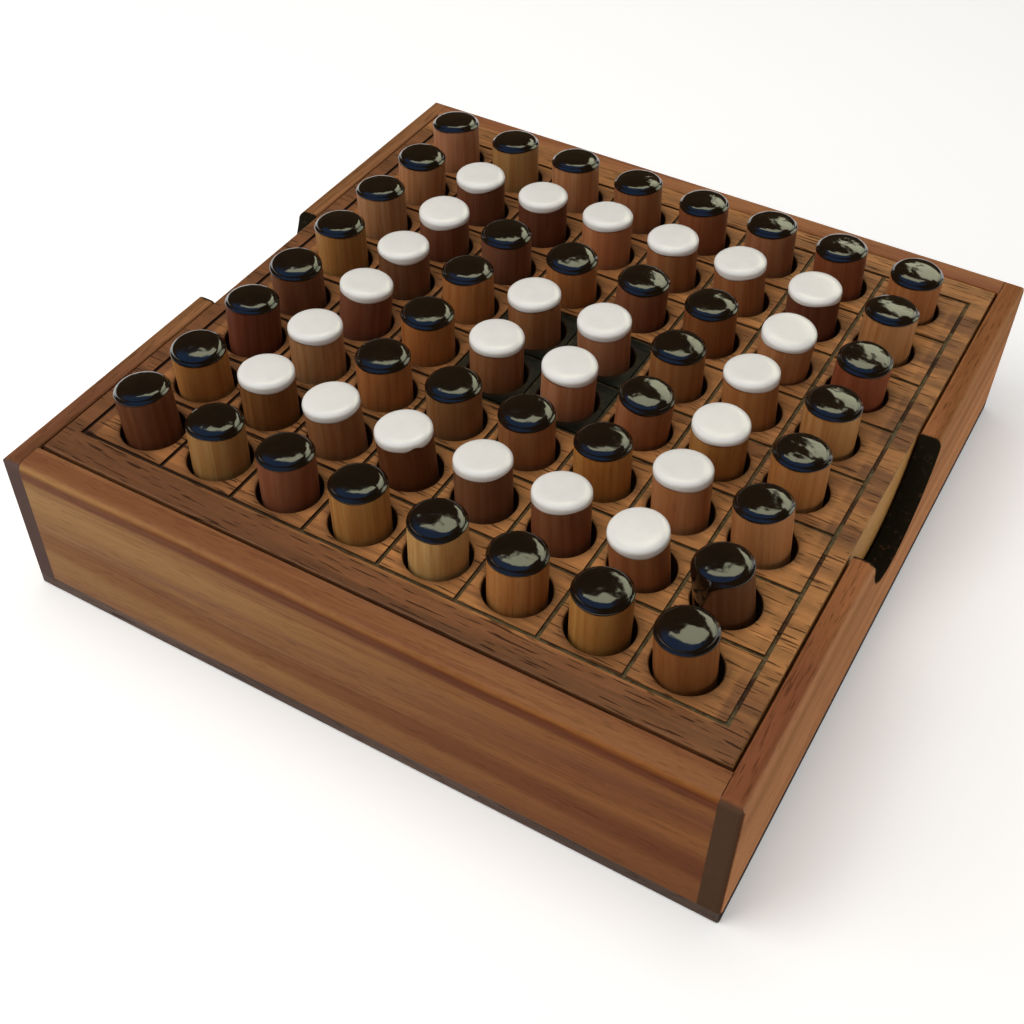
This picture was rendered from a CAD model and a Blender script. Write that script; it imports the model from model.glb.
import math

import bpy
import numpy as np
from mathutils import Matrix, Vector


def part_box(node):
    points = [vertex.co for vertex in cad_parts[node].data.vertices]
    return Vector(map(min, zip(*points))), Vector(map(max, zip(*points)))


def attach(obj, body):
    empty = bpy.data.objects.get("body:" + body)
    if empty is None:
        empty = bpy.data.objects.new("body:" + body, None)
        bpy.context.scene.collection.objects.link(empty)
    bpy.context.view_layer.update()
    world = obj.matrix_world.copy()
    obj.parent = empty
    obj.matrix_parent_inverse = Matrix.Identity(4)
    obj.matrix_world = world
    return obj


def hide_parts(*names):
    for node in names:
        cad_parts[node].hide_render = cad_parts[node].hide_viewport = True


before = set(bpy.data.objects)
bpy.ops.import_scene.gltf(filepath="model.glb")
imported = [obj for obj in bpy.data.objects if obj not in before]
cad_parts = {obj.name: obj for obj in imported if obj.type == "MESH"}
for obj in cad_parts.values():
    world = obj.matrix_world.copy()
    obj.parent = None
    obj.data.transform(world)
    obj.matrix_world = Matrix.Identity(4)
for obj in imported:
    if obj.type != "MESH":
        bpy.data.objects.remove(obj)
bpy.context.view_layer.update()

# Sizes in metres: read from the frame where it holds them, and otherwise the design's own values
MM = 0.001
BOARD_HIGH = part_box("board")[1]
CORNERS_LOW, CORNERS_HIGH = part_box("outer_corner_pegs")
PEG_LOW, PEG_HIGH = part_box("peg_b1")
WALL_LOW, WALL_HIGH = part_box("right_wall")
SQUARES = 8
PEG_LENGTH = PEG_HIGH.z - PEG_LOW.z
PAINT_SKIN = 0.1 * MM
PAINT_RADIUS = (PEG_HIGH.x - PEG_LOW.x) / 2
WOOD_RADIUS = PAINT_RADIUS - PAINT_SKIN
PITCH = (CORNERS_HIGH - CORNERS_LOW - Vector((2, 2, 2)) * PAINT_RADIUS) / (SQUARES - 1)
HOLE_RADIUS = 7.55 * MM
HOLE_DEPTH = BOARD_HIGH.z - PEG_LOW.z
NOTCH_WIDTH = 44 * MM
NOTCH_DEPTH = 18 * MM
NOTCH_RADIUS = ((NOTCH_WIDTH / 2) ** 2 + NOTCH_DEPTH ** 2) / (2 * NOTCH_DEPTH)
NOTCH_Z = WALL_HIGH.z - NOTCH_DEPTH + NOTCH_RADIUS


def tone(code):
    """A colour written as RRGGBB, as the linear values that Blender's sockets take."""
    parts = [int(code[k:k + 2], 16) / 255 for k in (0, 2, 4)]
    linear = [c / 12.92 if c <= 0.04045 else ((c + 0.055) / 1.055) ** 2.4 for c in parts]
    return (*linear, 1.0)


# Node helpers

def feed(tree, socket, value):
    """Links a socket to the socket that feeds it, or sets a plain value."""
    if isinstance(value, bpy.types.NodeSocket):
        tree.links.new(value, socket)
    else:
        socket.default_value = value


def node(tree, kind, inputs, **settings):
    """A new node, its inputs given by socket name or number."""
    made = tree.nodes.new(kind)
    for name, value in settings.items():
        setattr(made, name, value)
    for key, value in inputs.items():
        feed(tree, made.inputs[key], value)
    return made


def maths(tree, operation, *values):
    """The result of one Math node."""
    return node(tree, "ShaderNodeMath", dict(enumerate(values)), operation=operation).outputs[0]


def vector(tree, operation, *values, scale=None):
    """The vector that one Vector Math node makes."""
    inputs = dict(enumerate(values))
    if scale is not None:
        inputs["Scale"] = scale
    return node(tree, "ShaderNodeVectorMath", inputs, operation=operation).outputs[0]


def length(tree, *parts):
    """The length of a vector whose X and Y are given."""
    joined = node(tree, "ShaderNodeCombineXYZ", dict(enumerate(parts))).outputs[0]
    return node(tree, "ShaderNodeVectorMath", {0: joined}, operation="LENGTH").outputs["Value"]


def split(tree, value):
    """The X, Y and Z of a vector."""
    return node(tree, "ShaderNodeSeparateXYZ", {0: value}).outputs


def ramp(tree, value, low, high, to_low=0.0, to_high=1.0):
    """value carried smoothly from low..high to to_low..to_high, and held at both ends."""
    inputs = {"Value": value, "From Min": low, "From Max": high, "To Min": to_low, "To Max": to_high}
    return node(tree, "ShaderNodeMapRange", inputs, interpolation_type="SMOOTHSTEP").outputs["Result"]


def mixed(tree, factor, first, second, blend="MIX"):
    """One colour mixed into another."""
    made = node(tree, "ShaderNodeMix", {0: factor}, data_type="RGBA", blend_type=blend)
    feed(tree, made.inputs[6], first)
    feed(tree, made.inputs[7], second)
    return made.outputs[2]


def tinted(tree, color, by, share=1.0):
    """A colour multiplied by another, or a share of the way there."""
    return mixed(tree, share, color, by, "MULTIPLY")


def noise(tree, place, scale, detail, roughness, distortion=0.0, out="Fac"):
    """The value of a Noise Texture, or its colour."""
    inputs = {"Vector": place, "Scale": scale, "Detail": detail, "Roughness": roughness,
              "Distortion": distortion}
    return node(tree, "ShaderNodeTexNoise", inputs).outputs[out]


# Noise drawn out along the grain: its scale per millimetre across the grain and along it, its detail, its
# roughness and its distortion
GRAIN_NOISE = {
    "bend": (0.022, 0.004, 2.0, 0.5, 0.0),
    "fibre": (1.1, 0.022, 4.0, 0.62, 0.0),
    "fine": (4.6, 0.11, 2.0, 0.6, 0.0),
    "figure": (0.12, 0.007, 3.0, 0.55, 0.6),
    "crowd": (0.25, 0.03, 1.0, 0.5, 0.0),
    "pore": (3.4, 0.19, 1.0, 0.4, 0.0),
    "sway": (0.05, 0.012, 2.0, 0.5, 0.0),
    "flame": (0.14, 0.022, 3.0, 0.55, 0.0),
}


def grain_noise(tree, place, kind, scale=1.0, out="Fac"):
    """Noise at a place whose Z runs along the grain."""
    across, along, detail, roughness, distortion = GRAIN_NOISE[kind]
    drawn_out = vector(tree, "MULTIPLY", place, (across, across, along))
    return noise(tree, drawn_out, scale, detail, roughness, distortion, out)


def new_group(name, inputs, outputs):
    """An empty node group. inputs maps a name to its kind and value, and outputs a name to its kind."""
    tree = bpy.data.node_groups.new(name, "ShaderNodeTree")
    for title, (kind, value) in inputs.items():
        socket = tree.interface.new_socket(title, in_out="INPUT", socket_type="NodeSocket" + kind)
        if value is not None:
            socket.default_value = value
    for title, kind in outputs.items():
        tree.interface.new_socket(title, in_out="OUTPUT", socket_type="NodeSocket" + kind)
    given = tree.nodes.new("NodeGroupInput").outputs
    result = tree.nodes.new("NodeGroupOutput").inputs
    return tree, given, result


def grouped(tree, group, inputs):
    """The outputs of a group placed in a material's tree."""
    made = tree.nodes.new("ShaderNodeGroup")
    made.node_tree = group
    for key, value in inputs.items():
        feed(tree, made.inputs[key], value)
    return made.outputs


# Effects that several finishes share

# How far noise bends the trunk, in millimetres, and how far the fibres bend its rings, in rings
TRUNK_BEND = 26.0
FIBRE_BEND = 0.55
# How much of the dark tone the fibres and the fine grain bring
FIBRE_DARK = 0.45
FINE_DARK = 0.5
# A pore is where its noise passes PORE_LEVEL, less up to PORE_CROWD where pores crowd together, and
# PORE_DARK is how much of its own colour it shows
PORE_LEVEL = 0.70
PORE_CROWD = 0.12
PORE_DARK = 0.8
# The roughness of smooth wood, and what each effect adds to it, and each effect's share of the height
SMOOTH_WOOD = 0.36
ROUGHER = {"fibre": 0.16, "pore": 0.25, "end": 0.22}
RELIEF = {"fine": 0.35, "pore": -0.9, "fibre": 0.4}


def solid_wood_group():
    """Wood as a solid that can be cut anywhere. The trunk runs along Z of Place, in millimetres.
    Growth rings are sin(2 pi r / Ring Width) of the distance r from the pith, bent by noise. Fibres,
    dark streaks and pores are noise drawn out along Z. End Grain is 1 on a face cut across the trunk."""
    tree, given, result = new_group(
        "solid_wood",
        {
            "Place": ("Vector", None),
            "Light": ("Color", tone("a87a50")),
            "Dark": ("Color", tone("704826")),
            "Streak": ("Color", tone("5a3322")),
            "Ring Width": ("Float", 6.0),
            "Ring Strength": ("Float", 0.6),
            "Streak Amount": ("Float", 0.4),
            "Pores": ("Float", 0.5),
            "Pore Size": ("Float", 1.0),
            "End Grain": ("Float", 0.0),
        },
        {"Color": "Color", "Roughness": "Float", "Height": "Float"},
    )
    place = given["Place"]
    bend = grain_noise(tree, place, "bend", out="Color")
    bend = vector(tree, "SCALE", vector(tree, "SUBTRACT", bend, (0.5, 0.5, 0.5)), scale=TRUNK_BEND)
    bent = split(tree, vector(tree, "ADD", place, bend))
    radius = length(tree, bent[0], bent[1])

    fibre = grain_noise(tree, place, "fibre")
    fine = grain_noise(tree, place, "fine")
    phase = maths(tree, "DIVIDE", radius, given["Ring Width"])
    phase = maths(tree, "MULTIPLY_ADD", fibre, FIBRE_BEND, phase)
    ring = ramp(tree, maths(tree, "SINE", maths(tree, "MULTIPLY", phase, 2 * math.pi)), -0.8, 1.0)

    depth = maths(tree, "MULTIPLY", ramp(tree, fibre, 0.32, 0.68), FIBRE_DARK)
    depth = maths(tree, "MULTIPLY_ADD", ring, given["Ring Strength"], depth)
    depth = maths(tree, "MULTIPLY_ADD", maths(tree, "SUBTRACT", fine, 0.5), FINE_DARK, depth)
    color = mixed(tree, depth, given["Light"], given["Dark"])

    figure = grain_noise(tree, place, "figure")
    streak = maths(tree, "MULTIPLY", ramp(tree, figure, 0.48, 0.7), given["Streak Amount"])
    color = mixed(tree, streak, color, given["Streak"])

    fineness = maths(tree, "DIVIDE", 1.0, given["Pore Size"])
    spots = grain_noise(tree, place, "pore", fineness)
    level = maths(tree, "MULTIPLY_ADD", grain_noise(tree, place, "crowd"), -PORE_CROWD, PORE_LEVEL)
    pore = ramp(tree, maths(tree, "SUBTRACT", spots, level), -0.02, 0.05)
    pore = maths(tree, "MULTIPLY", pore, given["Pores"])
    filled = tinted(tree, given["Streak"], tone("6b5a50"))
    color = mixed(tree, maths(tree, "MULTIPLY", pore, PORE_DARK), color, filled)

    speckle = mixed(tree, ramp(tree, fine, 0.35, 0.7), tone("8a7c72"), tone("5a4d46"))
    cut = tinted(tree, color, speckle)
    color = mixed(tree, given["End Grain"], color, mixed(tree, 0.3, cut, given["Streak"]))

    rough = maths(tree, "MULTIPLY_ADD", fibre, ROUGHER["fibre"], SMOOTH_WOOD)
    rough = maths(tree, "MULTIPLY_ADD", pore, ROUGHER["pore"], rough)
    rough = maths(tree, "MULTIPLY_ADD", given["End Grain"], ROUGHER["end"], rough)
    height = maths(tree, "MULTIPLY", fine, RELIEF["fine"])
    height = maths(tree, "MULTIPLY_ADD", pore, RELIEF["pore"], height)
    height = maths(tree, "MULTIPLY_ADD", fibre, RELIEF["fibre"], height)
    feed(tree, result["Color"], color)
    feed(tree, result["Roughness"], rough)
    feed(tree, result["Height"], height)
    return tree


def edge_wear_group():
    """Where a sanded block's edges are rounded over. The normal there turns away from all three axes, so
    Edge rises with 1 less the largest of |nx|, |ny| and |nz|. Upper is the part of it that faces up."""
    tree, given, result = new_group(
        "edge_wear",
        {"Normal": ("Vector", None), "Place": ("Vector", None)},
        {"Edge": "Float", "Upper": "Float"},
    )
    turned = split(tree, vector(tree, "ABSOLUTE", given["Normal"]))
    largest = maths(tree, "MAXIMUM", maths(tree, "MAXIMUM", turned[0], turned[1]), turned[2])
    edge = ramp(tree, maths(tree, "SUBTRACT", 1.0, largest), 0.01, 0.16)
    rub = noise(tree, given["Place"], scale=0.35, detail=3.0, roughness=0.6)
    rub = ramp(tree, rub, 0.3, 0.65, 0.35, 1.0)
    edge = maths(tree, "MULTIPLY", edge, rub)
    up = ramp(tree, split(tree, given["Normal"])[2], 0.0, 0.5)
    feed(tree, result["Edge"], edge)
    feed(tree, result["Upper"], maths(tree, "MULTIPLY", edge, up))
    return tree


SOLID_WOOD = solid_wood_group()
EDGE_WEAR = edge_wear_group()


# Finishes

# The Specular IOR Level that the wax gives, and the heights of the grain's and the turned wood's relief
WAX_GLOSS = {"walls": 0.05, "side walls": 0.0, "board": 0.2, "pegs": 0.15}
PLANED_RELIEF = 0.12 * MM
TURNED_RELIEF = 0.08 * MM
# How much smoother a rubbed edge is
RUBBED_SMOOTHER = 0.06
# The size of a normal's part along an axis, from where a face begins to count as facing along it to where
# it fully does
END_GRAIN_FACING = (0.55, 0.9)
TOP_FACING = (0.6, 0.95)
WALL_END_FACING = (0.5, 0.9)
WALL_END_NEAR = (0.3, 0.7)
BOARD_SIDE_FACING = (0.8, 0.95)
# The turn that brings each direction of the grain to Z
GRAIN_ALONG = {
    "X": (0.0, -math.pi / 2, 0.0),
    "Y": (math.pi / 2, 0.0, 0.0),
}


def new_material(name):
    """A new material, its tree and its Principled shader."""
    made = bpy.data.materials.new(name)
    made.use_nodes = True
    return made, made.node_tree, made.node_tree.nodes["Principled BSDF"]


def grain_frame(tree, where, along, pith, tilt):
    """The surface's place with the trunk turned to run along Z, and how squarely a face cuts the trunk.
    pith is the trunk's middle, in millimetres across the grain, and tilt how far it leans, in degrees."""
    turn = GRAIN_ALONG[along]
    in_mm = vector(tree, "SCALE", where["Object"], scale=1000.0)
    lined = node(tree, "ShaderNodeMapping", {"Vector": in_mm, "Rotation": turn}).outputs[0]
    lean = (math.radians(tilt[0]), math.radians(tilt[1]), 0.0)
    middle = (-pith[0], -pith[1], 0.0)
    trunk = {"Vector": lined, "Rotation": lean, "Location": middle}
    place = node(tree, "ShaderNodeMapping", trunk).outputs[0]
    facing = node(tree, "ShaderNodeMapping", {"Vector": where["Normal"], "Rotation": turn}).outputs[0]
    square = maths(tree, "ABSOLUTE", split(tree, facing)[2])
    return place, ramp(tree, square, *END_GRAIN_FACING)


def bump(tree, height, distance):
    """The normal that a height gives."""
    return node(tree, "ShaderNodeBump", {"Height": height, "Distance": distance}).outputs[0]


def wood_finish(name, along, pith, tilt, wood, worn="b98a5c", wear=0.35, extra=None, gloss="walls"):
    """A planed, waxed piece of wood with rubbed edges of the colour worn. extra changes its colour and
    roughness, and gloss names its entry in WAX_GLOSS."""
    material, tree, shader = new_material(name)
    where = node(tree, "ShaderNodeTexCoord", {}).outputs
    place, end = grain_frame(tree, where, along, pith, tilt)
    made = grouped(tree, SOLID_WOOD, {"Place": place, "End Grain": end, **wood})
    rubbed = grouped(tree, EDGE_WEAR, {"Normal": where["Normal"], "Place": place})
    color = mixed(tree, maths(tree, "MULTIPLY", rubbed["Upper"], wear), made["Color"], tone(worn))
    rough = maths(tree, "MULTIPLY_ADD", rubbed["Edge"], -RUBBED_SMOOTHER, made["Roughness"])
    if extra:
        color, rough = extra(tree, where, place, color, rough)
    feed(tree, shader.inputs["Base Color"], color)
    feed(tree, shader.inputs["Roughness"], rough)
    feed(tree, shader.inputs["Normal"], bump(tree, made["Height"], PLANED_RELIEF))
    shader.inputs["Specular IOR Level"].default_value = WAX_GLOSS[gloss]
    return material


def between(tree, value, low, high, soft):
    """1 where value lies from low to high, falling to 0 over soft outside them."""
    above = ramp(tree, value, low - soft, low)
    return maths(tree, "MULTIPLY", above, ramp(tree, value, high, high + soft, 1.0, 0.0))


# The dark bands of the front and back walls: the shares of the wall's height between which each lies, how
# softly it ends, how far noise sways it, and its tint, of which BAND_STRENGTH is the share it gets
END_WALL_BANDS = {
    "broad": (0.37, 0.44, 0.1, 0.25, tone("c8a998")),
    "top": (0.92, 0.95, 0.035, 0.06, tone("b88c8a")),
}
BAND_STRENGTH = 0.8


def end_wall_tones(tree, where, place, color, rough):
    """The plank is sawn so that a broad dark band runs along its face below the middle, and a thin purple
    one close under the top edge. It is redder to the right, and the back wall's top is paler."""
    parts = split(tree, where["Object"])
    up = ramp(tree, split(tree, where["Normal"])[2], *TOP_FACING)
    on_face = maths(tree, "MULTIPLY", maths(tree, "SUBTRACT", 1.0, up), BAND_STRENGTH)
    share = maths(tree, "DIVIDE", parts[2], WALL_HIGH.z)
    sway = maths(tree, "SUBTRACT", grain_noise(tree, place, "sway"), 0.5)
    for low, high, soft, swing, tint in END_WALL_BANDS.values():
        swayed = maths(tree, "MULTIPLY_ADD", sway, swing, share)
        band = maths(tree, "MULTIPLY", between(tree, swayed, low, high, soft), on_face)
        color = tinted(tree, color, tint, band)
    right = ramp(tree, parts[0], -WALL_HIGH.x, 0.9 * WALL_HIGH.x)
    face = mixed(tree, right, tone("ffffff"), tone("d8b8a2"))
    back = ramp(tree, parts[1], -0.5 * WALL_HIGH.y, 0.5 * WALL_HIGH.y)
    top = mixed(tree, back, tone("d8c4d2"), tone("eed8e8"))
    return tinted(tree, color, mixed(tree, up, face, top)), rough


def end_wall_finish():
    wood = {"Light": tone("a97f4c"), "Dark": tone("92653d"), "Streak": tone("7f5442"),
            "Ring Width": 9.0, "Ring Strength": 0.6, "Streak Amount": 0.5, "Pores": 0.3}
    return wood_finish("end_wall_wood", "X", (34.0, 16.0), (0.9, 1.6), wood, extra=end_wall_tones)


# The char of a finger notch: its colour, how ragged its edge is, how far inside the cut it starts, over
# what depth it fades, and how much rougher it is
CHAR = tone("201d14")
CHAR_RAGGED = 1.6 * MM
CHAR_INSIDE = 0.2 * MM
CHAR_FADE = (-0.2 * MM, 0.5 * MM)
CHAR_ROUGHER = 0.25


def charred_notch(tree, where, place, color, rough):
    """The cut of a finger notch is scorched: within a noisy hair of the distance NOTCH_RADIUS from the
    cutter's axis, which runs along X at height NOTCH_Z."""
    parts = split(tree, where["Object"])
    far = length(tree, parts[1], maths(tree, "SUBTRACT", parts[2], NOTCH_Z))
    ragged = noise(tree, place, scale=0.8, detail=3.0, roughness=0.6)
    reach = maths(tree, "MULTIPLY_ADD", ragged, CHAR_RAGGED, NOTCH_RADIUS - CHAR_INSIDE)
    burnt = ramp(tree, maths(tree, "SUBTRACT", reach, far), *CHAR_FADE)
    return mixed(tree, burnt, color, CHAR), maths(tree, "MULTIPLY_ADD", burnt, CHAR_ROUGHER, rough)


# The side walls: what their planed wood is multiplied by on the outer face, on the left wall and towards
# the back, between which X the outer face's tone begins, and how it darkens upwards
OUTER_LIFT = (2.7, 3.7, 4.1, 1.0)
LEFT_CAST = (0.84, 0.98, 1.07, 1.0)
BACK_LIFT = (1.5, 1.7, 1.5, 1.0)
OUTER_FROM = (WALL_HIGH.x - 1.2 * MM, WALL_HIGH.x - 0.1 * MM)
OUTER_SHADE = (1.14, 0.86)


def side_wall_tones(tree, where, place, color, rough):
    """The outer face and the rubbed outer edge are lighter and more orange than the planed top, and the
    ends are greyer."""
    turned = split(tree, vector(tree, "ABSOLUTE", where["Normal"]))
    parts = split(tree, where["Object"])
    out = ramp(tree, maths(tree, "ABSOLUTE", parts[0]), *OUTER_FROM)
    out = maths(tree, "MULTIPLY", out, ramp(tree, turned[1], *WALL_END_NEAR, 1.0, 0.0))
    rubbed = mixed(tree, 0.3, tinted(tree, color, OUTER_LIFT), tone("c28a61"))
    shade = ramp(tree, parts[2], 0.2 * WALL_HIGH.z, 0.8 * WALL_HIGH.z, *OUTER_SHADE)
    rubbed = tinted(tree, rubbed, shade)
    left = ramp(tree, parts[0], -WALL_HIGH.x, WALL_HIGH.x, 1.0, 0.0)
    color = tinted(tree, color, LEFT_CAST, left)
    back = ramp(tree, parts[1], 0.7 * WALL_LOW.y, 0.3 * WALL_LOW.y)
    color = tinted(tree, color, BACK_LIFT, back)
    color = mixed(tree, out, color, rubbed)
    ends = ramp(tree, turned[1], *WALL_END_FACING)
    cut = mixed(tree, left, tone("604b3b"), tone("6e5c58"))
    color = mixed(tree, maths(tree, "MULTIPLY", ends, 0.7), color, cut)
    return charred_notch(tree, where, place, color, rough)


def side_wall_finish():
    wood = {"Light": tone("855035"), "Dark": tone("6c4027"), "Streak": tone("592f1d"),
            "Ring Width": 7.0, "Ring Strength": 0.5, "Streak Amount": 0.4, "Pores": 0.5}
    return wood_finish("side_wall_wood", "Y", (-22.0, 60.0), (1.2, -0.7), wood, wear=0.06,
                       extra=side_wall_tones, gloss="side walls")


def base_finish():
    wood = {"Light": tone("6d584d"), "Dark": tone("514138"), "Streak": tone("3d2e29"),
            "Ring Width": 5.0, "Ring Strength": 0.5, "Streak Amount": 0.3, "Pores": 0.7}
    return wood_finish("base_wood", "X", (10.0, 140.0), (0.4, 0.8), wood, worn="6e5543", wear=0.2)


def batten_finish():
    wood = {"Light": tone("b48a5e"), "Dark": tone("8f673f"), "Streak": tone("7d5434"),
            "Ring Width": 3.0, "Ring Strength": 0.6, "Streak Amount": 0.2, "Pores": 0.3}
    return wood_finish("batten_wood", "X", (20.0, -18.0), (0.5, 0.3), wood, wear=0.1)


# The board's tones: what its wood is multiplied by where it is rubbed, how much of that the squares and
# the back margin get, and over what distance a square's tone fades
RUBBED_LIFT = (2.25, 2.5, 2.15, 1.0)
SQUARES_RUBBED = 0.4
BACK_RUBBED = 0.7
SQUARE_FADE = 1.2 * MM
# Where the flames grow from left to right, the rows at the front that are rubbed all over, with how softly
# they end, and where the front margin ends and the back margin begins
FLAMES_X = (-0.9 * BOARD_HIGH.x, 0.9 * BOARD_HIGH.x)
NEAR_ROWS_Y = (-0.72 * BOARD_HIGH.y, -0.3 * BOARD_HIGH.y, 0.1 * BOARD_HIGH.y)
FRONT_MARGIN_Y = (-0.93 * BOARD_HIGH.y, -0.9 * BOARD_HIGH.y)
BACK_MARGIN_Y = (0.86 * BOARD_HIGH.y, 0.92 * BOARD_HIGH.y)
# Lines and holes count as cut in between these depths below the board's top, and this far in from its
# sides, each fading from the first value to the second
CUT_FROM = (0.1 * MM, 0.4 * MM)
CUT_TO = (HOLE_DEPTH + 0.5 * MM, HOLE_DEPTH + MM)
CUT_INSIDE = (1.5 * MM, 1.2 * MM)
# How near its sides the board takes their pale tone
SIDE_TONE = 0.5 * MM
# Dirt reaches DIRT_REACH from a hole: EVEN_DIRT lies on the margins, and RING_DIRT more at a hole's edge
DIRT_REACH = 2.2 * MM
EVEN_DIRT = 0.3
RING_DIRT = 0.4
# Distances from a hole's axis over which the stain of the hole gives way to the ink of the lines
INK_FROM = (HOLE_RADIUS + 0.05 * MM, HOLE_RADIUS + 0.3 * MM)


def from_hole(tree, parts):
    """The distance to the axis of the nearest peg hole. The holes repeat every PITCH, half a PITCH off
    the middle of the board."""
    apart = []
    for k in (0, 1):
        folded = maths(tree, "PINGPONG", parts[k], PITCH[k] / 2)
        apart.append(maths(tree, "SUBTRACT", folded, PITCH[k] / 2))
    return length(tree, *apart)


def within_squares(tree, flat, squares):
    """1 within so many squares of the board's middle, both ways. flat is |x| and |y|."""
    reach = [squares * PITCH[k] for k in (0, 1)]
    inside = [ramp(tree, flat[k], reach[k], reach[k] + SQUARE_FADE, 1.0, 0.0) for k in (0, 1)]
    return maths(tree, "MULTIPLY", *inside)


def rubbed_lighter(tree, parts, place, right, played):
    """How much of RUBBED_LIFT a place on the board gets: most in long flames at the right and in the rows
    at the front, some on every square, and much on the back margin."""
    flame = ramp(tree, grain_noise(tree, place, "flame"), 0.42, 0.58)
    flame = maths(tree, "MAXIMUM", flame, between(tree, parts[1], *NEAR_ROWS_Y))
    flame = maths(tree, "MULTIPLY", flame, ramp(tree, parts[1], *FRONT_MARGIN_Y))
    lighter = maths(tree, "MULTIPLY_ADD", played, SQUARES_RUBBED, maths(tree, "MULTIPLY", right, flame))
    lighter = maths(tree, "MULTIPLY_ADD", ramp(tree, parts[1], *BACK_MARGIN_Y), BACK_RUBBED, lighter)
    return node(tree, "ShaderNodeClamp", {0: lighter}).outputs[0]


def cut_in(tree, parts, flat):
    """1 on the floors and sides of lines and holes, which are told from the top by their depth below it.
    The board's own sides and underside are left out."""
    depth = maths(tree, "SUBTRACT", BOARD_HIGH.z, parts[2])
    sunk = ramp(tree, depth, *CUT_FROM)
    for k in (0, 1):
        inside = ramp(tree, flat[k], *(BOARD_HIGH[k] - inset for inset in CUT_INSIDE), 1.0, 0.0)
        sunk = maths(tree, "MULTIPLY", sunk, inside)
    return maths(tree, "MULTIPLY", sunk, ramp(tree, depth, *CUT_TO, 1.0, 0.0))


def ruled_board(tree, where, place, color, rough):
    """The floors and sides of the cut lines are inked, the holes are stained inside, and dirt gathers in
    a ring round each hole and on the margins. The squares are rubbed lighter than the margins, most of
    all at the right, where the ink has faded to olive. The four middle squares are stained nearly black,
    and the board's left and right sides are pale."""
    parts = split(tree, where["Object"])
    flat = [maths(tree, "ABSOLUTE", parts[k]) for k in (0, 1)]
    right = ramp(tree, parts[0], *FLAMES_X)
    played, middle = within_squares(tree, flat, SQUARES / 2), within_squares(tree, flat, 1)
    color = tinted(tree, color, RUBBED_LIFT, rubbed_lighter(tree, parts, place, right, played))
    color = mixed(tree, middle, color, tone("11130c"))

    facing = maths(tree, "ABSOLUTE", split(tree, where["Normal"])[0])
    side = ramp(tree, flat[0], BOARD_HIGH.x - 2 * SIDE_TONE, BOARD_HIGH.x - SIDE_TONE)
    side = maths(tree, "MULTIPLY", ramp(tree, facing, *BOARD_SIDE_FACING), side)
    color = mixed(tree, side, color, tone("cc9755"))

    far = from_hole(tree, parts)
    smudge = noise(tree, place, scale=0.5, detail=2.0, roughness=0.6)
    dirt = ramp(tree, far, HOLE_RADIUS, HOLE_RADIUS + DIRT_REACH, RING_DIRT, -EVEN_DIRT)
    dirt = maths(tree, "MULTIPLY_ADD", dirt, played, EVEN_DIRT)
    color = mixed(tree, maths(tree, "MULTIPLY", dirt, smudge), color, tone("3a281c"))

    faded = maths(tree, "MULTIPLY", right, ramp(tree, smudge, 0.3, 0.6, 0.3, 1.0))
    ink = mixed(tree, faded, tone("1d120c"), tone("5c5238"))
    stain = mixed(tree, ramp(tree, far, *INK_FROM), tone("2c1c12"), ink)
    sunk = cut_in(tree, parts, flat)
    color = mixed(tree, maths(tree, "MULTIPLY", sunk, 0.9), color, stain)
    return color, maths(tree, "MULTIPLY_ADD", sunk, 0.2, rough)


def board_finish():
    wood = {"Light": tone("855534"), "Dark": tone("644026"), "Streak": tone("4d2d1f"),
            "Ring Width": 8.0, "Ring Strength": 0.45, "Streak Amount": 0.4, "Pores": 1.0, "Pore Size": 1.5}
    return wood_finish("board_wood", "X", (-46.0, 30.0), (-0.8, 1.4), wood, wear=0.2, extra=ruled_board,
                       gloss="board")


def peg_wood_finish():
    """Turned dowels. A peg's own tone, and its place in the stick that it was cut from, are attributes
    of its mesh."""
    material, tree, shader = new_material("peg_wood")
    stick = node(tree, "ShaderNodeAttribute", {}, attribute_name="stick_place").outputs["Vector"]
    shade = node(tree, "ShaderNodeAttribute", {}, attribute_name="stick_tone").outputs["Color"]
    wood = {"Light": tone("ffffff"), "Dark": tone("e0c6ae"), "Streak": tone("bf9678"),
            "Ring Width": 2.6, "Ring Strength": 0.35, "Streak Amount": 0.25, "Pores": 0.2}
    made = grouped(tree, SOLID_WOOD, {"Place": stick, **wood})
    feed(tree, shader.inputs["Base Color"], tinted(tree, made["Color"], shade))
    feed(tree, shader.inputs["Roughness"], made["Roughness"])
    feed(tree, shader.inputs["Normal"], bump(tree, made["Height"], TURNED_RELIEF))
    shader.inputs["Specular IOR Level"].default_value = WAX_GLOSS["pegs"]
    return material


# The flake off a white peg's rim: its middle, its radius, over what distance it fades, and how ragged its
# edge is
CHIP_PLACE = (-32.7 * MM, -48.9 * MM, 54.4 * MM)
CHIP_RADIUS = 0.75 * MM
CHIP_FADE = 0.2 * MM
CHIP_RAGGED = 0.8 * MM


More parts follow.
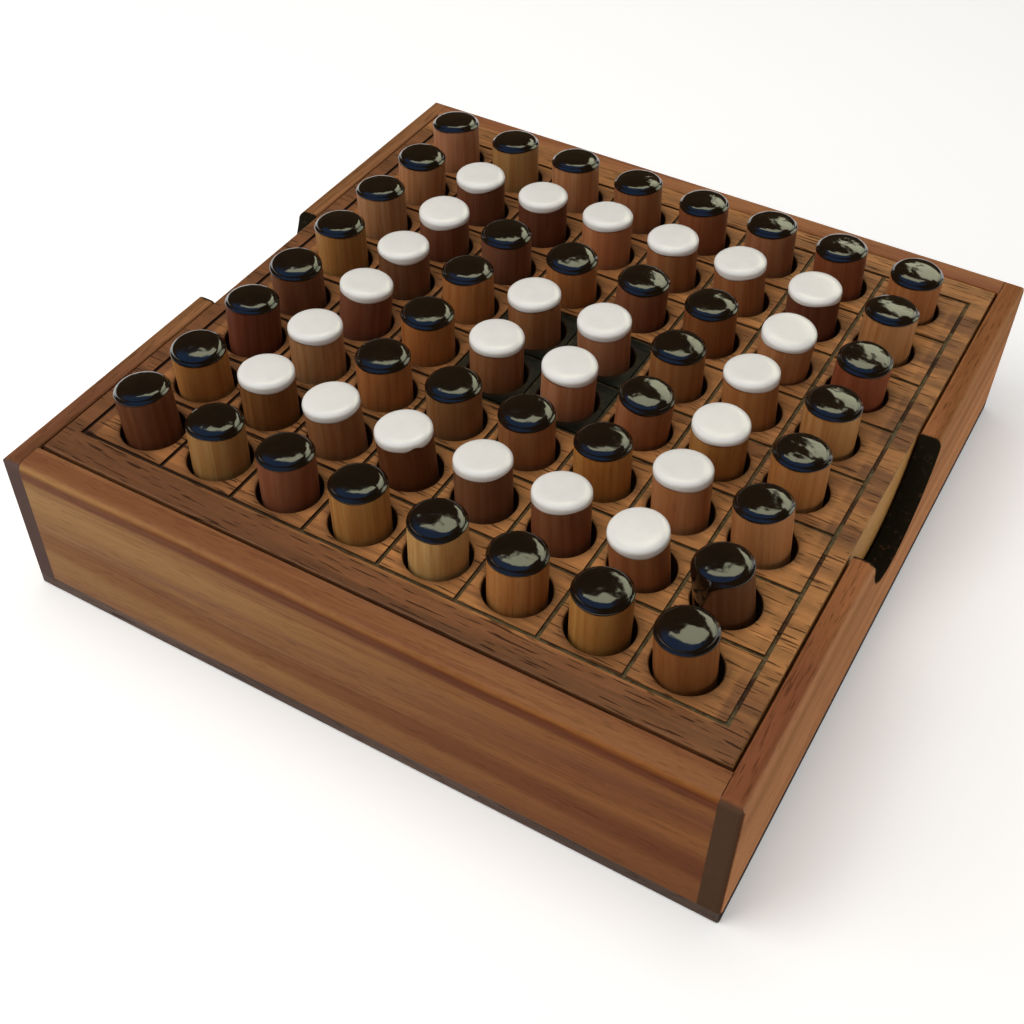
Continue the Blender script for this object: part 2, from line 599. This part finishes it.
def paint_finish(name, main, other, roughness, ripple_height, chip=None):
    """Thick brushed lacquer: nearly even, with faint clouds, a soft ripple and a little dust. chip is where
    a flake of it has come off and the wood shows."""
    material, tree, shader = new_material(name)
    place = node(tree, "ShaderNodeTexCoord", {}).outputs["Object"]
    in_mm = vector(tree, "SCALE", place, scale=1000.0)
    cloud = ramp(tree, noise(tree, in_mm, scale=0.25, detail=2.0, roughness=0.5), 0.3, 0.7)
    ripple = noise(tree, in_mm, scale=0.4, detail=1.0, roughness=0.4)
    dust = noise(tree, in_mm, scale=5.0, detail=2.0, roughness=0.6)
    color = mixed(tree, cloud, tone(main), tone(other))
    if chip:
        away = node(tree, "ShaderNodeVectorMath", {0: place, 1: chip}, operation="DISTANCE").outputs["Value"]
        away = maths(tree, "MULTIPLY_ADD", ripple, CHIP_RAGGED, away)
        bare = ramp(tree, away, CHIP_RADIUS, CHIP_RADIUS + CHIP_FADE, 0.8, 0.0)
        color = mixed(tree, bare, color, tone("8a7a66"))
    feed(tree, shader.inputs["Base Color"], color)
    feed(tree, shader.inputs["Roughness"], ramp(tree, dust, 0.35, 0.75, roughness, roughness + 0.05))
    height = maths(tree, "MULTIPLY_ADD", dust, 0.01, ripple)
    feed(tree, shader.inputs["Normal"], bump(tree, height, ripple_height))
    shader.inputs["Coat Weight"].default_value = 0.3
    shader.inputs["Coat Roughness"].default_value = 0.04
    return material


# The floor's half width in metres, and the strength of its own light
FLOOR_REACH = 4.0
FLOOR_GLOW = 0.25


def floor_finish():
    """Near white to the camera and in reflections, through a little light of its own that lights nothing."""
    material, tree, shader = new_material("pale_floor")
    shader.inputs["Base Color"].default_value = tone("f7f6f4")
    shader.inputs["Roughness"].default_value = 0.9
    shader.inputs["Specular IOR Level"].default_value = 0.0
    rays = node(tree, "ShaderNodeLightPath", {}).outputs
    seen = maths(tree, "MAXIMUM", rays["Is Camera Ray"], rays["Is Glossy Ray"])
    seen = maths(tree, "MAXIMUM", seen, rays["Is Transmission Ray"])
    shader.inputs["Emission Color"].default_value = (1.0, 1.0, 1.0, 1.0)
    feed(tree, shader.inputs["Emission Strength"], maths(tree, "MULTIPLY", seen, FLOOR_GLOW))
    return material


PEG_WOOD = peg_wood_finish()
PAINTS = {
    "black": paint_finish("black_paint", "120c07", "180f09", roughness=0.08, ripple_height=0.16 * MM),
    "white": paint_finish("white_paint", "e9e6e0", "e5e2dc", roughness=0.3, ripple_height=0.06 * MM,
                          chip=CHIP_PLACE),
}


def dress_cad_nodes():
    end_walls, side_walls, battens = end_wall_finish(), side_wall_finish(), batten_finish()
    finishes = {
        "front_wall": end_walls,
        "back_wall": end_walls,
        "left_wall": side_walls,
        "right_wall": side_walls,
        "front_batten": battens,
        "back_batten": battens,
        "base_panel": base_finish(),
        "board": board_finish(),
    }
    for name, material in finishes.items():
        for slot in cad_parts[name].material_slots:
            slot.material = material


# Pegs

# A peg's mesh: its points round, and its rings on a dome, on the paint's side and on the wood beside it
AROUND = 48
ANGLES = np.linspace(0, 2 * math.pi, AROUND, endpoint=False)
CAP_RINGS = 12
SIDE_RINGS = 3
WOOD_RINGS = 4
# How far a painted end's dome drops to its rim, and then, by its colour, the rim's radius, the power that
# shapes the dome, the size of its dents, how far the paint comes down the side below the rim, and how far
# the paint's edge wanders
DOME_DROP = 1.3 * MM
RIM_RADIUS = {"black": 5.9 * MM, "white": PAINT_RADIUS}
DOME_POWER = {"black": 3.3, "white": 6.0}
DENTS = {"black": 0.08 * MM, "white": 0.05 * MM}
PAINT_SIDE = {"black": 0.7 * MM, "white": 1.0 * MM}
EDGE_WANDER = {"black": 0.14 * MM, "white": 0.25 * MM}
# The height over which the bare stick is rounded over below the rim
SHOULDER = 0.9 * MM
# What chance gives each peg: how much shorter than the CAD's it is, how much further it leans, in
# millimetres, how much lighter or darker it is, and its place in the stick, in millimetres
SHORTER_BY = (0.4 * MM, 0.8 * MM)
LEAN_SPREAD = (-0.15, 0.15)
TONE_SPREAD = (0.9, 1.1)
ACROSS_STICK = (-14, 14)
ALONG_STICK = (0, 600)

COLUMNS = "abcdefgh"
RING_PEGS = ("outer_corner_pegs", "second_corner_pegs", "third_corner_pegs", "centre_pegs")
# A run of paint down a peg's side, or a notch up into its edge where the length is negative: its angle, its
# length and its width in radians
RUNS = {
    "h2": (math.radians(240), 9.5 * MM, 0.42),
    "d2": (math.radians(-35), -0.9 * MM, 0.2),
}
# How far a peg's top leans from the middle of its hole, in millimetres along X and Y
LEANS = {
    (-0.6, 0.0): "d5 e7 f6",
    (-1.4, 0.0): "c2 d2 f7 g5",
    (-0.4, 0.6): "b2 b3 c7 d7 b1 c1 f1 g1 b5",
    (-0.4, 0.1): "e3 d3 c3 c6 h5 f5",
    (-1.0, 0.6): "d8 g8 a6 d1 a5 f8 e8",
    (-1.1, 1.2): "a8 b8 c8 e2 f2 g3",
    (-1.8, 0.7): "a1 h3",
    (-0.5, -0.6): "e5 g7",
    (-1.3, -1.1): "g2",
    (-2.3, -0.4): "h2",
    (-1.2, -0.7): "h1",
    (0.0, -0.7): "g4 a2 a4 d6",
    (-0.7, 0.5): "f3 h4 c5",
    (0.5, -0.5): "b6 e4 h6",
    (0.4, 0.5): "a7 e6",
    (0.9, 0.1): "f4",
    (0.1, 0.0): "e1",
    (0.9, -1.2): "g6",
    (-0.3, 1.3): "a3 h7",
    (1.0, 1.4): "b4",
}
LEAN_OF_PEG = {peg: lean for lean, pegs in LEANS.items() for peg in pegs.split()}
# The tones of the sticks that the pegs were cut from, and each stick's pegs. The others are brown.
STICKS = {
    "pale": "d4a666",
    "tan": "b48451",
    "gold": "b47d46",
    "hazel": "b8825a",
    "orange": "b47e47",
    "russet": "8e5c34",
    "red": "8e5437",
    "maroon": "6d422a",
    "brown": "9d6f47",
    "umber": "82533c",
    "dark": "6d412c",
}
PEGS_OF_STICK = {
    "pale": "e1",
    "tan": "b1 h3 h5 h7 g3 b8",
    "gold": "d1 g1 c4 c5",
    "hazel": "b3 e4 e5 a6 a7 a8 d7 c8 g6",
    "orange": "f1 h4 h8 a2 a5 f3 c3 d6 g4 g5",
    "russet": "h1 b2 f6",
    "red": "h6 e8 g8",
    "maroon": "a1 h2 d2",
    "umber": "c1 e2 a4 f2 b4 b5 b6 b7 c6 e6",
    "dark": "a3 c7 g7",
}
STICK_OF_PEG = {peg: stick for stick, pegs in PEGS_OF_STICK.items() for peg in pegs.split()}


def ring_of(column, row):
    """How many squares a peg stands in from the edge: 0 on the outer ring, 3 in the centre."""
    return min(column, row, SQUARES - 1 - column, SQUARES - 1 - row)


def wobble(rng, *sizes):
    """A smooth closed wave round a circle: the sum of size_k cos(k angle + phase_k)."""
    turns = np.arange(1, len(sizes) + 1)
    phases = rng.uniform(0, 2 * math.pi, len(sizes))
    return (np.array(sizes) * np.cos(np.outer(ANGLES, turns) + phases)).sum(axis=1)


def stick_radius(height, paint):
    """The bare stick's radius at a height below the plane of its end. Under black paint, which is thin
    at the rim, the stick is rounded over along a quarter of an ellipse, SHOULDER high."""
    inset = WOOD_RADIUS - RIM_RADIUS[paint] + PAINT_SKIN
    up = np.clip((height + DOME_DROP + SHOULDER) / SHOULDER, 0, 1)
    return WOOD_RADIUS - inset * (1 - np.sqrt(1 - up ** 2))


def painted_end(paint, rng, run=None):
    """One painted end, as each ring's radius and height at each angle, from the bare wood to the middle
    of the end, whose plane is at height 0. The lacquer is a dome: at a share s of its rim's radius,
    height = -DOME_DROP (1 - sqrt(1 - s^power)). Soft dents make it uneven, each of the depth
    3 size s^2 (1 - s^2)^2 (1 + cos(k angle + phase_k)). The paint's edge wanders round the peg, and a
    run pulls it down in one place."""
    edge = -DOME_DROP - PAINT_SIDE[paint] + wobble(rng, *(EDGE_WANDER[paint] / k for k in (1, 1.3, 2, 3)))
    if run:
        place, reach, width = run
        apart = np.angle(np.exp(1j * (ANGLES - place)))
        edge = edge - reach * np.exp(-((apart / width) ** 2))

    share = np.sin(np.linspace(math.pi / 2, 0, CAP_RINGS + 1)[:-1, None])
    dome = -DOME_DROP * (1 - np.sqrt(1 - share ** DOME_POWER[paint])) + np.zeros(AROUND)
    for k in (1, 2, 3):
        size, phase = rng.uniform(0.3, 1.0) * DENTS[paint], rng.uniform(0, 2 * math.pi)
        dome = dome - 3 * size * share ** 2 * (1 - share ** 2) ** 2 * (1 + np.cos(k * ANGLES + phase))

    below = np.linspace(1, 0, WOOD_RINGS)[:, None] * SHOULDER
    wood = np.minimum(-DOME_DROP - PAINT_SIDE[paint] - below, edge - below / 2)
    wood[-1] = edge
    steps = np.linspace(0, 1, SIDE_RINGS + 1)[:-1, None]
    side = edge + PAINT_SKIN / 2 + steps * (dome[0] - edge - PAINT_SKIN / 2)
    height = np.vstack([wood, side, dome])
    radius = np.vstack([
        stick_radius(wood, paint),
        stick_radius(side, paint) + PAINT_SKIN,
        RIM_RADIUS[paint] * share + np.zeros(AROUND),
    ])
    return radius, height


def peg_points(top, bottom, rng, run):
    """The points of a peg that stands on z = 0, from the pole of its lower end to the upper one, and
    how many rings the lower end has."""
    tall = PEG_LENGTH - rng.uniform(*SHORTER_BY)
    low_radius, low_height = painted_end(bottom, rng)
    high_radius, high_height = painted_end(top, rng, run)
    radius = np.vstack([low_radius[::-1], high_radius])
    height = np.vstack([-low_height[::-1], tall + high_height])
    rings = np.stack([radius * np.cos(ANGLES), radius * np.sin(ANGLES), height], axis=-1)
    return np.vstack([[[0, 0, 0]], rings.reshape(-1, 3), [[0, 0, tall]]]), len(low_radius)


def peg_faces(rings, low_rings, start):
    """Faces over the points of one peg, the first of which is number start, and each face's material:
    0 wood, 1 the upper paint, 2 the lower paint."""
    here = np.arange(AROUND)
    beside = np.roll(here, -1)
    faces, materials = [], []
    first, last = start + 1, start + 1 + (rings - 1) * AROUND
    wood_from, wood_to = low_rings - WOOD_RINGS, low_rings + WOOD_RINGS - 1
    faces += np.stack([np.full(AROUND, start), first + beside, first + here], axis=1).tolist()
    materials += [2] * AROUND
    for band in range(rings - 1):
        low, high = first + band * AROUND, first + (band + 1) * AROUND
        faces += np.stack([low + here, low + beside, high + beside, high + here], axis=1).tolist()
        materials += [2 if band < wood_from else 0 if band < wood_to else 1] * AROUND
    faces += np.stack([last + here, last + beside, np.full(AROUND, last + AROUND)], axis=1).tolist()
    materials += [1] * AROUND
    return faces, materials


def stand_in_hole(points, column, row, lean):
    """Leans a peg about the middle of its hole's depth, moves it to its hole and stands it on the floor.
    lean is how far its top goes to the side, in millimetres along X and Y."""
    reach = PEG_LENGTH - HOLE_DEPTH / 2
    angle = math.atan2(math.hypot(*lean) * MM, reach)
    turn = np.array(Matrix.Rotation(angle, 3, Vector((-lean[1], lean[0], 0)))) if angle else np.eye(3)
    middle = np.array([0, 0, HOLE_DEPTH / 2])
    leaning = (points - middle) @ turn.T
    leaning[:, 2] -= leaning[:, 2].min()
    hole = [(column - (SQUARES - 1) / 2) * PITCH.x, (row - (SQUARES - 1) / 2) * PITCH.y, PEG_LOW.z]
    return leaning + hole


def make_pegs(name, places):
    """One object for a body's pegs, which replaces the node of that name."""
    ring = ring_of(*places[0])
    top, bottom = ("white", "black") if ring % 2 else ("black", "white")
    points, faces, materials, tones, stick_places = [], [], [], [], []
    for column, row in places:
        square = COLUMNS[column] + str(row + 1)
        rng = np.random.default_rng(100 * column + row)
        shape, low_rings = peg_points(top, bottom, rng, RUNS.get(square))
        rings = (len(shape) - 2) // AROUND
        peg_face, peg_material = peg_faces(rings, low_rings, sum(map(len, points)))
        faces += peg_face
        materials += peg_material
        lean = LEAN_OF_PEG.get(square, (0, 0)) + rng.uniform(*LEAN_SPREAD, 2)
        points.append(stand_in_hole(shape, column, row, lean))
        stick = np.array(tone(STICKS[STICK_OF_PEG.get(square, "brown")]))
        shade = stick * [*rng.uniform(*TONE_SPREAD, 3), 1]
        tones.append(np.tile(shade, (len(shape), 1)))
        in_stick = np.array([*rng.uniform(*ACROSS_STICK, 2), rng.uniform(*ALONG_STICK)])
        stick_places.append(shape / MM + in_stick)

    mesh = bpy.data.meshes.new(name + "_turned")
    mesh.from_pydata(np.vstack(points).tolist(), [], faces)
    stick_tone = mesh.attributes.new("stick_tone", "FLOAT_COLOR", "POINT")
    stick_tone.data.foreach_set("color", np.vstack(tones).ravel())
    stick_place = mesh.attributes.new("stick_place", "FLOAT_VECTOR", "POINT")
    stick_place.data.foreach_set("vector", np.vstack(stick_places).ravel())
    for material in (PEG_WOOD, PAINTS[top], PAINTS[bottom]):
        mesh.materials.append(material)
    mesh.polygons.foreach_set("material_index", materials)
    mesh.shade_smooth()
    pegs = bpy.data.objects.new(name + "_turned", mesh)
    bpy.context.scene.collection.objects.link(pegs)
    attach(pegs, name)
    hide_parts(name)


def make_all_pegs():
    """One object per body: the two diagonals' pegs go by fours, and every other peg alone."""
    far = SQUARES - 1
    for ring, name in enumerate(RING_PEGS):
        make_pegs(name, [(i, j) for i in (ring, far - ring) for j in (ring, far - ring)])
    for row in range(SQUARES):
        for column in range(SQUARES):
            if row != column and row + column != far:
                make_pegs(f"peg_{COLUMNS[column]}{row + 1}", [(column, row)])


# Floor, light and camera

def add_floor():
    corners = [(FLOOR_REACH * x, FLOOR_REACH * y, 0) for x, y in ((-1, -1), (1, -1), (1, 1), (-1, 1))]
    mesh = bpy.data.meshes.new("floor")
    mesh.from_pydata(corners, [], [(0, 1, 2, 3)])
    mesh.materials.append(floor_finish())
    floor = bpy.data.objects.new("floor", mesh)
    bpy.context.scene.collection.objects.link(floor)


# Each lamp's place, the point that it faces, its two sides, its radiance and its colour
LAMPS = {
    "ceiling_lamp": ((-0.08, 0.02, 1.05), (0.0, 0.0, 0.04), (0.75, 0.75), 2.6, (1.0, 0.99, 0.97)),
    "high_softbox": ((-0.4, -0.45, 0.85), (0.0, 0.0, 0.05), (0.6, 0.6), 2.8, (1.0, 0.99, 0.96)),
    "left_softbox": ((-0.8, -0.6, 0.5), (0.0, 0.0, 0.05), (0.9, 0.7), 1.3, (1.0, 0.98, 0.95)),
    "right_strip": ((0.9, 0.1, 0.12), (0.0, 0.0, 0.03), (0.9, 0.2), 2.6, (1.0, 0.96, 0.9)),
}


def add_lamp(name, place, aim, size, radiance, color):
    """A rectangle of even light. radiance is its brightness, and its power follows from its area. Gloss
    shows the room in its place."""
    data = bpy.data.lights.new(name, "AREA")
    data.shape = "RECTANGLE"
    data.size, data.size_y = size
    data.energy = radiance * math.pi * size[0] * size[1]
    data.color = color
    light = bpy.data.objects.new(name, data)
    light.location = place
    light.rotation_euler = (Vector(aim) - Vector(place)).to_track_quat("-Z", "Y").to_euler()
    light.visible_camera = False
    light.visible_glossy = False
    bpy.context.scene.collection.objects.link(light)


# What gloss shows of the room. A window in the ceiling is told by where a ray meets a plane 1 m up: its
# least and greatest X, and Y, and how far its sides slant to -X for each metre along Y. A patch is a
# direction, how far it spreads, and its colour.
SKYLIGHT = (3.2, 3.2, 2.2, 1.0)
SKYLIGHTS = {
    "long_pane": ((-0.6, 0.05), (0.28, 0.48), 0.0),
    "upper_pane": ((-0.36, 0.05), (0.45, 0.7), 0.0),
    "garden_pane": ((0.5, 1.5), (0.93, 2.0), 0.6),
}
PATCHES = {
    "blue_ceiling": ((-0.2, -0.34, 0.92), 0.9, (0.07, 0.24, 0.56, 1.0)),
    "garden_door": ((0.46, 0.77, 0.4), 0.36, (2.2, 2.3, 1.6, 1.0)),
}
DARK_ROOM = (0.07, 0.045, 0.02, 1.0)
LEFT_WALL_LIGHT = (0.28, 0.28, 0.28, 1.0)
RIGHT_WALL_LIGHT = (0.14, 0.14, 0.14, 1.0)
BEHIND_FLOOR = (0.8, 0.8, 0.8, 1.0)
# How softly a window ends, the share of a patch's spread that is even, and the least height of a ray that
# is still carried up to the plane
WINDOW_SOFT = 0.04
PATCH_EVEN = 0.65
HORIZON = 0.01


def add_room():
    """Even walls light the object. The camera sees paler ones, and gloss a dark room with windows."""
    world = bpy.data.worlds.new("room")
    world.use_nodes = True
    tree = world.node_tree
    towards = node(tree, "ShaderNodeTexCoord", {}).outputs["Generated"]
    parts = split(tree, towards)
    height = maths(tree, "MAXIMUM", parts[2], HORIZON)
    across, away = (maths(tree, "DIVIDE", parts[k], height) for k in (0, 1))
    shown = DARK_ROOM
    for middle, spread, color in PATCHES.values():
        apart = vector(tree, "SUBTRACT", towards, tuple(Vector(middle).normalized()))
        apart = node(tree, "ShaderNodeVectorMath", {0: apart}, operation="LENGTH").outputs["Value"]
        shown = mixed(tree, ramp(tree, apart, spread * PATCH_EVEN, spread, 1.0, 0.0), shown, color)
    for x_range, y_range, slant in SKYLIGHTS.values():
        slanted = maths(tree, "MULTIPLY_ADD", away, slant, across)
        along = between(tree, away, *y_range, WINDOW_SOFT)
        inside = maths(tree, "MULTIPLY", between(tree, slanted, *x_range, WINDOW_SOFT), along)
        shown = mixed(tree, inside, shown, SKYLIGHT)
    lit = mixed(tree, ramp(tree, parts[0], -0.6, 0.6), LEFT_WALL_LIGHT, RIGHT_WALL_LIGHT)
    rays = node(tree, "ShaderNodeLightPath", {}).outputs
    seen = mixed(tree, rays["Is Glossy Ray"], mixed(tree, rays["Is Camera Ray"], lit, BEHIND_FLOOR), shown)
    feed(tree, tree.nodes["Background"].inputs["Color"], seen)
    bpy.context.scene.world = world


CAMERA_PLACE = Vector((0.11958, -0.23207, 0.25951))
CAMERA_AIM = Vector((0.01682, -0.04795, BOARD_HIGH.z))
CAMERA_ROLL = math.radians(1.126)
CAMERA_LENS = 49.153


def add_camera():
    data = bpy.data.cameras.new("camera")
    data.sensor_fit = "HORIZONTAL"
    data.sensor_width = 36.0
    data.lens = CAMERA_LENS
    data.clip_start = 0.01
    camera = bpy.data.objects.new("camera", data)
    aimed = (CAMERA_AIM - CAMERA_PLACE).to_track_quat("-Z", "Y").to_matrix()
    turned = aimed @ Matrix.Rotation(CAMERA_ROLL, 3, "Z")
    camera.matrix_world = Matrix.Translation(CAMERA_PLACE) @ turned.to_4x4()
    bpy.context.scene.collection.objects.link(camera)
    bpy.context.scene.camera = camera


dress_cad_nodes()
make_all_pegs()
add_floor()
for lamp_name, lamp in LAMPS.items():
    add_lamp(lamp_name, *lamp)
add_room()
add_camera()
bpy.context.scene.view_settings.view_transform = "Standard"

bpy.context.view_layer.update()
